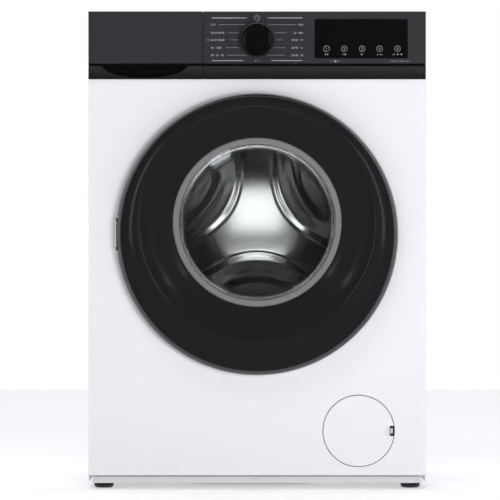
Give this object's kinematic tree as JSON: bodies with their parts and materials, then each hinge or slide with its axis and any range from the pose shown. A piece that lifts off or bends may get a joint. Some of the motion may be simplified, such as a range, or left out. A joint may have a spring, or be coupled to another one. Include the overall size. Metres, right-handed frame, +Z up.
{
  "type": "front load washing machine",
  "caption": "Front load washing machine: white cabinet, dark console with knob and detergent drawer, glossy black round door over a suspended tub and belt-driven drum.",
  "frame": {"origin": "on the floor, under the middle of the machine's bounding box", "axes": "+Z up, +Y to the rear (the door faces -Y), +X to the right as seen from the front"},
  "size_m": [0.597, 0.565, 0.845],
  "materials": {
    "white_enamel": "smooth semi-gloss white enamel on steel sheet",
    "zinc_sheet": "galvanised, dull spangle",
    "stainless": "satin stainless",
    "polished_steel": "ground and polished",
    "cast_aluminium": "as cast",
    "black_gloss": "piano black gloss",
    "charcoal_plastic": "dark metallic charcoal, satin",
    "black_plastic": "moulded, fine grain",
    "light_plastic": "moulded, smooth light grey",
    "tub_plastic": "fibre filled, dull",
    "grey_rubber": "soft, matt",
    "concrete": "cast, rough",
    "worktop_board": "white laminate on chipboard",
    "window_glass": "clear, fire polished",
    "circuit_board": "green solder resist"
  },
  "bodies": {
    "cabinet": {"left_side_panel": "white_enamel", "right_side_panel": "white_enamel", "rear_panel": "zinc_sheet", "rear_service_cover": "zinc_sheet", "front_panel": "white_enamel", "base_frame": "tub_plastic", "plinth": "light_plastic", "worktop": "worktop_board", "crossbar_front": "zinc_sheet", "console_fascia": "charcoal_plastic", "display_window": "black_gloss", "control_board": "circuit_board", "dispenser_box": "tub_plastic", "inlet_valve": "light_plastic", "inlet_hose": "grey_rubber", "dispenser_hose": "grey_rubber", "door_gasket": "grey_rubber", "door_lock": "black_plastic", "hinge_bracket": "zinc_sheet", "pump_housing": "black_plastic", "sump_hose": "grey_rubber", "drain_hose": "grey_rubber", "mains_filter": "light_plastic", "spring_left": "polished_steel", "spring_right": "polished_steel", "damper_cylinder_left": "black_plastic", "damper_cylinder_right": "black_plastic"},
    "tub": {"tub_rear_half": "tub_plastic", "tub_front_half": "tub_plastic", "counterweight_front": "concrete", "counterweight_top": "concrete", "heater": "polished_steel", "bearing_front": "polished_steel", "bearing_rear": "polished_steel", "motor_stator": "cast_aluminium", "drive_belt": "grey_rubber", "damper_rod_left": "polished_steel", "damper_rod_right": "polished_steel"},
    "drum": {"drum_shell": "stainless", "drum_back": "stainless", "paddle_1": "light_plastic", "paddle_2": "light_plastic", "paddle_3": "light_plastic", "drum_spider": "cast_aluminium", "drum_pulley": "cast_aluminium"},
    "motor_rotor": {"motor_pulley": "cast_aluminium"},
    "door": {"door_ring": "black_gloss", "door_glass": "window_glass", "door_inner_ring": "black_plastic", "hinge_arm": "zinc_sheet"},
    "latch": {"latch_hook": "zinc_sheet"},
    "drawer": {"drawer_front": "charcoal_plastic", "drawer_tray": "light_plastic"},
    "knob": {"programme_knob": "black_gloss"},
    "flap": {"filter_flap": "light_plastic"},
    "filter": {"pump_filter": "black_plastic"},
    "foot_fl": {"foot_front_left": "black_plastic"},
    "foot_fr": {"foot_front_right": "black_plastic"},
    "foot_rl": {"foot_rear_left": "black_plastic"},
    "foot_rr": {"foot_rear_right": "black_plastic"}
  },
  "joints": [
    {"name": "tub_bounce", "type": "slide", "parent": "cabinet", "child": "tub", "axis": [0, 0, 1], "range_m": [-0.01, 0.008], "stiffness_N_per_m": 24000, "springref_m": 0.0126, "deforming": ["spring_left", "spring_right", "door_gasket", "sump_hose", "dispenser_hose"]},
    {"name": "drum_spin", "type": "hinge", "parent": "tub", "child": "drum", "pos_m": [0, 0, 0.472], "axis": [0, 1, 0], "continuous": true},
    {"name": "motor_spin", "type": "hinge", "parent": "tub", "child": "motor_rotor", "pos_m": [0, 0.203, 0.14], "axis": [0, 1, 0], "continuous": true},
    {"name": "door_swing", "type": "hinge", "parent": "cabinet", "child": "door", "pos_m": [-0.246, -0.262, 0.451], "axis": [0, 0, -1], "range_deg": [0, 150]},
    {"name": "latch_hook_pivot", "type": "hinge", "parent": "door", "child": "latch", "pos_m": [0.212, -0.252, 0.451], "axis": [0, 0, 1], "range_deg": [0, 8], "stiffness_Nm_per_rad": 0.5, "springref_deg": -5.73},
    {"name": "drawer_slide", "type": "slide", "parent": "cabinet", "child": "drawer", "axis": [0, -1, 0], "range_m": [0, 0.24]},
    {"name": "knob_turn", "type": "hinge", "parent": "cabinet", "child": "knob", "pos_m": [0, -0.246, 0.7944], "axis": [0, 1, 0], "continuous": true},
    {"name": "flap_swing", "type": "hinge", "parent": "cabinet", "child": "flap", "pos_m": [0.1212, -0.2425, 0.1028], "axis": [0, 0, -1], "range_deg": [0, 100]},
    {"name": "filter_turn", "type": "hinge", "parent": "cabinet", "child": "filter", "pos_m": [0.1797, -0.242, 0.1028], "axis": [0, -1, 0], "range_deg": [0, 90]},
    {"name": "foot_fl_level", "type": "slide", "parent": "cabinet", "child": "foot_fl", "axis": [0, 0, -1], "range_m": [0, 0.015]},
    {"name": "foot_fr_level", "type": "slide", "parent": "cabinet", "child": "foot_fr", "axis": [0, 0, -1], "range_m": [0, 0.015]},
    {"name": "foot_rl_level", "type": "slide", "parent": "cabinet", "child": "foot_rl", "axis": [0, 0, -1], "range_m": [0, 0.015]},
    {"name": "foot_rr_level", "type": "slide", "parent": "cabinet", "child": "foot_rr", "axis": [0, 0, -1], "range_m": [0, 0.015]}
  ],
  "couplings": [
    {"joint": "motor_spin", "follows": "drum_spin", "ratio": 13.182}
  ]
}
